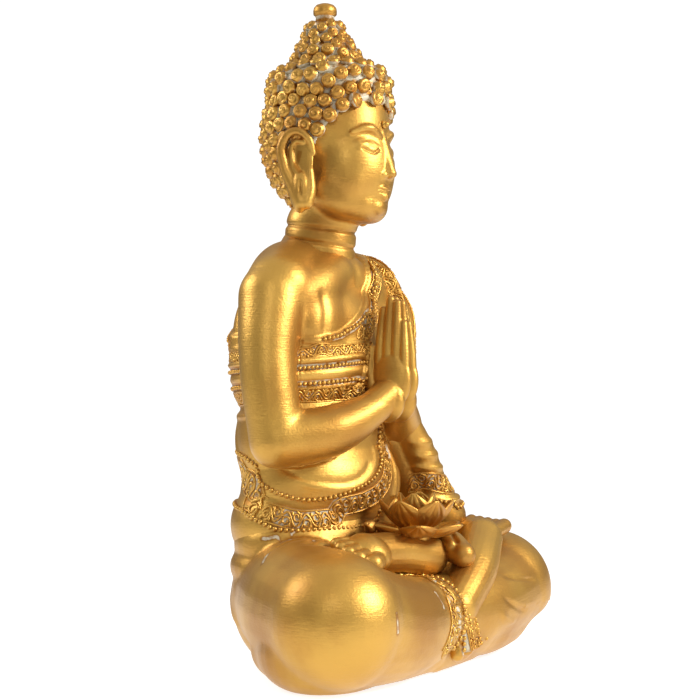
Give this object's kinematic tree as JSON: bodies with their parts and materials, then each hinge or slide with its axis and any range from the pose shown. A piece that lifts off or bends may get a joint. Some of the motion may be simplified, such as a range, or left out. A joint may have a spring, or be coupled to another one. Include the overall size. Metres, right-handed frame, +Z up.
{
  "type": "seated figure statue",
  "caption": "Gold-painted resin statue of a seated figure with crossed legs, palms pressed together, curled hair, a draped robe and a lotus flower on its ankles.",
  "frame": {"origin": "middle of the flat underside that the statue stands on", "axes": "+Z up, -Y the way the figure faces, +X the figure's left"},
  "size_m": [0.2016, 0.1163, 0.3],
  "materials": {
    "gold": "satin metallic gold paint on cast resin",
    "washed_gold": "gold paint with a pale antique wash in the recesses",
    "felt": "dark self-adhesive felt",
    "board": "unpainted resin"
  },
  "bodies": {
    "root": {"felt_base": "felt", "base_plate": "board", "lap_shell": "gold", "left_foot": "gold", "right_foot": "gold", "torso_shell": "gold", "right_upper_arm": "gold", "right_forearm": "gold", "left_upper_arm": "gold", "left_forearm": "gold", "right_hand": "gold", "left_hand": "gold", "head_shell": "gold", "right_ear": "gold", "left_ear": "gold", "finial": "gold", "forehead_bead": "gold", "left_sleeve": "gold", "lotus_cup": "gold", "lotus_pod": "gold", "lotus_leaf": "gold", "lotus_bud": "gold", "hair_cap": "washed_gold", "chest_hem_front": "washed_gold", "chest_hem_back": "washed_gold", "upper_belly_band": "washed_gold", "lower_belly_band": "washed_gold", "robe_hem": "washed_gold", "shoulder_fold": "washed_gold", "shin_hem": "washed_gold", "front_fan": "washed_gold", "outer_petal_1": "washed_gold", "outer_petal_2": "washed_gold", "outer_petal_3": "washed_gold", "outer_petal_4": "washed_gold", "outer_petal_5": "washed_gold", "outer_petal_6": "washed_gold", "middle_petal_1": "washed_gold", "middle_petal_2": "washed_gold", "middle_petal_3": "washed_gold", "middle_petal_4": "washed_gold", "middle_petal_5": "washed_gold", "middle_petal_6": "washed_gold", "inner_petal_1": "washed_gold", "inner_petal_2": "washed_gold", "inner_petal_3": "washed_gold", "inner_petal_4": "washed_gold"}
  },
  "joints": []
}
